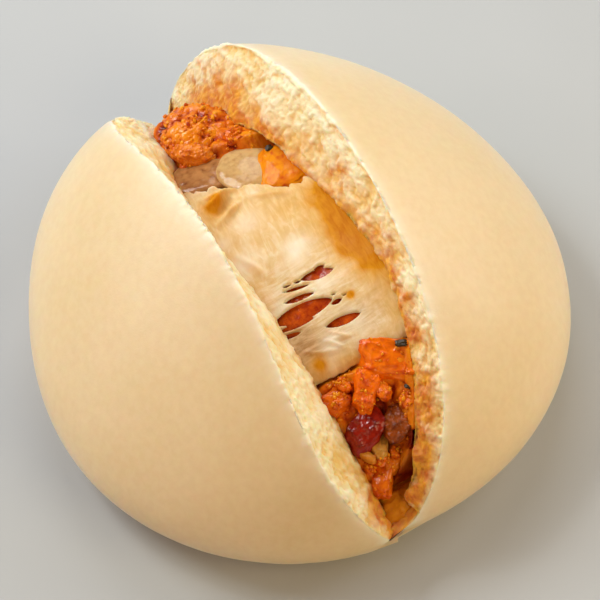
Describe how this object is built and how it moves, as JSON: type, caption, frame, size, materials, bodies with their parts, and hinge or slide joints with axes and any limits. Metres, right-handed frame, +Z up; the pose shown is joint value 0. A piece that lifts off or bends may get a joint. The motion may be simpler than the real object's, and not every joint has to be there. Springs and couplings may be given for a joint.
{
  "type": "pizza steamed bun",
  "caption": "Domed steamed bun torn open along its top, still joined along its base, showing melted cheese and a chunky tomato and meat sauce.",
  "frame": {"origin": "bottom centre of the bun's bounding box, on the surface it rests on", "axes": "+X across the tear, towards the bigger half; +Y along the tear, towards the end where the sauce runs over; +Z up"},
  "size_m": [0.1004, 0.1054, 0.0466],
  "materials": {
    "dough": "smooth satin steamed skin, open crumb where torn",
    "sauce": "wet and oily, lumpy",
    "cheese": "melted, softly glossy",
    "tomato": "wet, cooked",
    "onion": "wet, half clear",
    "carrot": "wet, cooked"
  },
  "bodies": {
    "root": {"dough": "dough", "meat_sauce": "sauce", "cheese": "cheese", "tomato_1": "tomato", "tomato_2": "tomato", "tomato_3": "tomato", "onion_1": "onion", "onion_2": "onion", "carrot_1": "carrot", "pepper_1": "carrot", "meat_lump_1": "sauce", "meat_lump_2": "sauce"}
  },
  "joints": []
}
